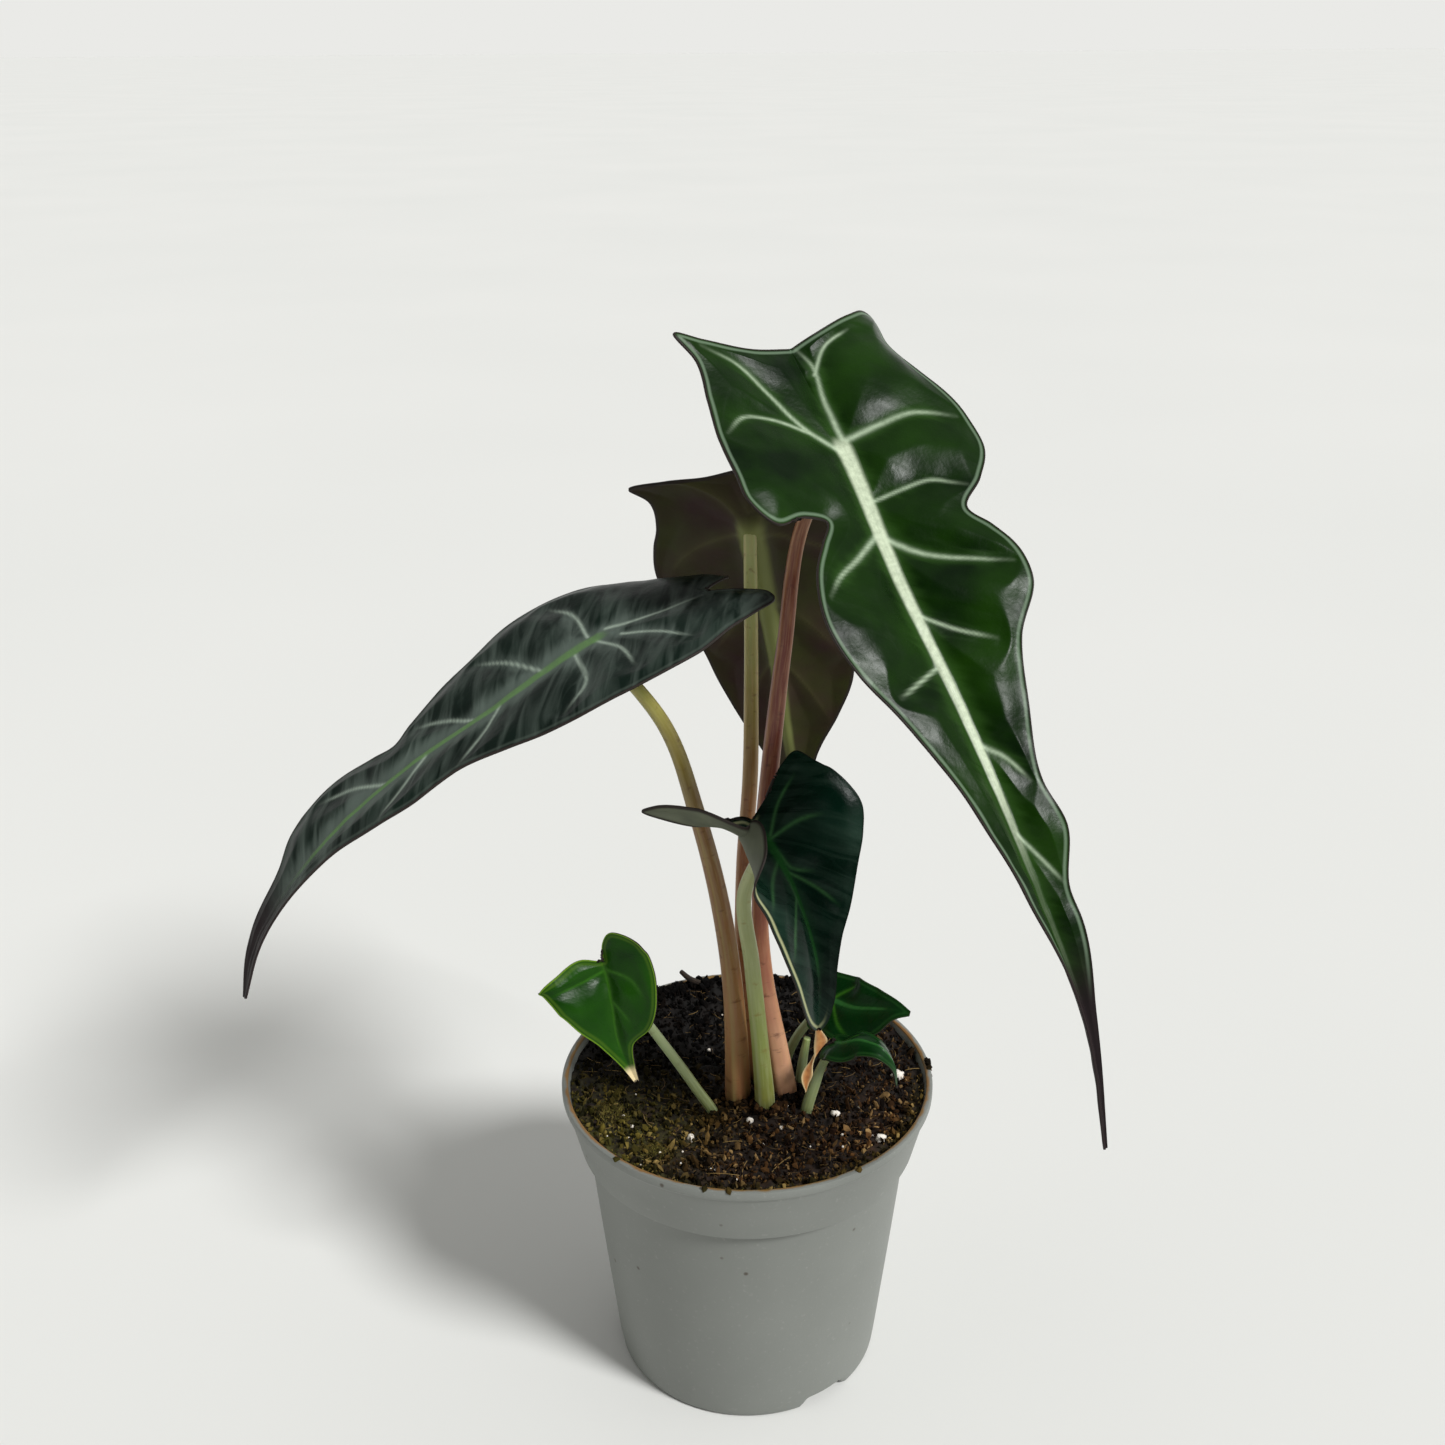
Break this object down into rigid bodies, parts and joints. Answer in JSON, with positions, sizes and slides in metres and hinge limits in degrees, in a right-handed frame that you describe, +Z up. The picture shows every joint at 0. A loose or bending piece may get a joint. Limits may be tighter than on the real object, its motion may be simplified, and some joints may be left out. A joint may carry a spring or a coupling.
{
  "type": "potted live plant",
  "caption": "Young potted alocasia with arrow-shaped dark green leaves on upright stalks, growing from peat soil in a grey tapered nursery pot.",
  "frame": {"origin": "centre of the pot's flat underside, on its axis", "axes": "+Z up along the pot's axis, the side the main leaf faces towards -Y, +X to the right of that side"},
  "size_m": [0.1184, 0.0844, 0.1706],
  "materials": {
    "pot": "matt grey polypropylene",
    "soil": "damp peat",
    "rootstock": "fibrous",
    "stalk": "satin olive to tan",
    "stalk_red": "satin red-brown",
    "leaf": "glossy dark green with pale veins, purple-brown underneath",
    "young_leaf": "glossy mid green",
    "dried_leaf": "papery orange-brown",
    "dead_wood": "rough",
    "perlite": "porous white",
    "moss": "soft"
  },
  "bodies": {
    "root": {"pot": "pot", "soil": "soil", "rootstock": "rootstock", "petiole_left": "stalk", "petiole_back": "stalk", "petiole_young": "stalk", "petiole_main": "stalk_red", "offset_left_petiole": "stalk", "offset_right_petiole": "stalk", "offset_right_curled_petiole": "stalk", "sheath_stub": "stalk", "leaf_main": "leaf", "leaf_left": "leaf", "leaf_back": "leaf", "leaf_young": "leaf", "leaf_young_dried_tip": "dried_leaf", "offset_left_leaf": "young_leaf", "offset_right_leaf": "young_leaf", "offset_right_curled_leaf": "young_leaf", "twig": "dead_wood", "perlite_grain_1": "perlite", "perlite_grain_2": "perlite", "perlite_grain_3": "perlite", "perlite_grain_4": "perlite", "perlite_grain_5": "perlite", "moss_cushion_1": "moss", "moss_cushion_2": "moss"}
  },
  "joints": []
}
